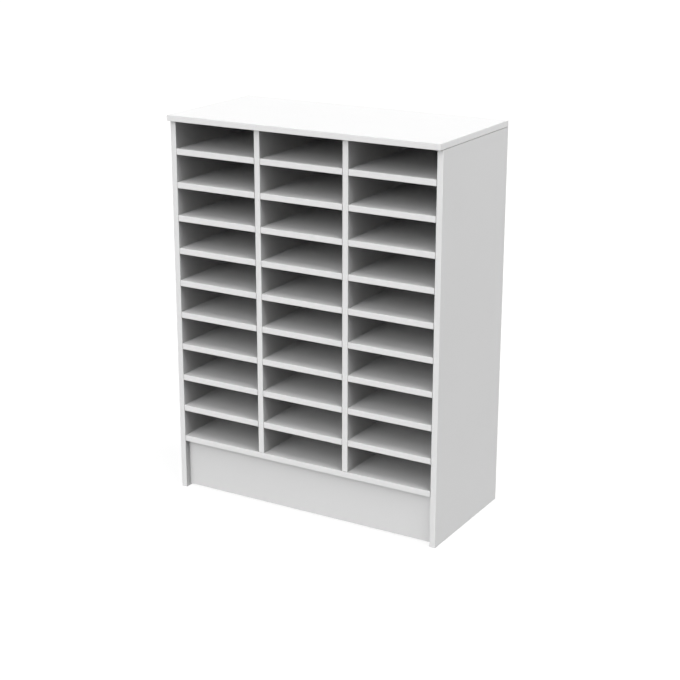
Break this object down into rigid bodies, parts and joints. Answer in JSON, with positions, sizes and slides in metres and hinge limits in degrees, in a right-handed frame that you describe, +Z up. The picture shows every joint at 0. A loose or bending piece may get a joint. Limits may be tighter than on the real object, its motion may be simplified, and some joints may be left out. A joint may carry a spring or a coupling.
{
  "type": "pigeonhole mail sorter",
  "caption": "Free-standing white board cabinet of open pigeonholes for sorting mail, in columns of fixed shelves under a flat top, above a recessed plinth.",
  "frame": {"origin": "on the floor, in the middle of the footprint of the top and the side panels", "axes": "+X to the right seen from the open front, +Y to the closed back, +Z up"},
  "size_m": [0.9, 0.43, 1.185],
  "materials": {
    "melamine_board": "chipboard faced with white melamine, fine satin texture",
    "edge_band": "white edge band, satin, with bevelled corners",
    "back_board": "thin fibreboard faced with white melamine, satin",
    "dowel": "plain beech",
    "screw": "bright zinc plating"
  },
  "bodies": {
    "root": {"back_panel": "back_board", "back_screws": "screw", "base_dowels": "dowel", "bottom_board": "melamine_board", "bottom_edge_band": "edge_band", "divider_edge_bands": "edge_band", "left_divider": "melamine_board", "left_side_panel": "melamine_board", "plinth": "melamine_board", "rear_rail": "melamine_board", "right_divider": "melamine_board", "right_side_panel": "melamine_board", "shelf_centre_1": "melamine_board", "shelf_centre_2": "melamine_board", "shelf_centre_3": "melamine_board", "shelf_centre_4": "melamine_board", "shelf_centre_5": "melamine_board", "shelf_centre_6": "melamine_board", "shelf_centre_7": "melamine_board", "shelf_centre_8": "melamine_board", "shelf_centre_9": "melamine_board", "shelf_edge_bands": "edge_band", "shelf_left_1": "melamine_board", "shelf_left_2": "melamine_board", "shelf_left_3": "melamine_board", "shelf_left_4": "melamine_board", "shelf_left_5": "melamine_board", "shelf_left_6": "melamine_board", "shelf_left_7": "melamine_board", "shelf_left_8": "melamine_board", "shelf_left_9": "melamine_board", "shelf_right_1": "melamine_board", "shelf_right_2": "melamine_board", "shelf_right_3": "melamine_board", "shelf_right_4": "melamine_board", "shelf_right_5": "melamine_board", "shelf_right_6": "melamine_board", "shelf_right_7": "melamine_board", "shelf_right_8": "melamine_board", "shelf_right_9": "melamine_board", "side_edge_bands": "edge_band", "top_dowels": "dowel", "top_edge_bands": "edge_band", "top_panel": "melamine_board"}
  },
  "joints": []
}
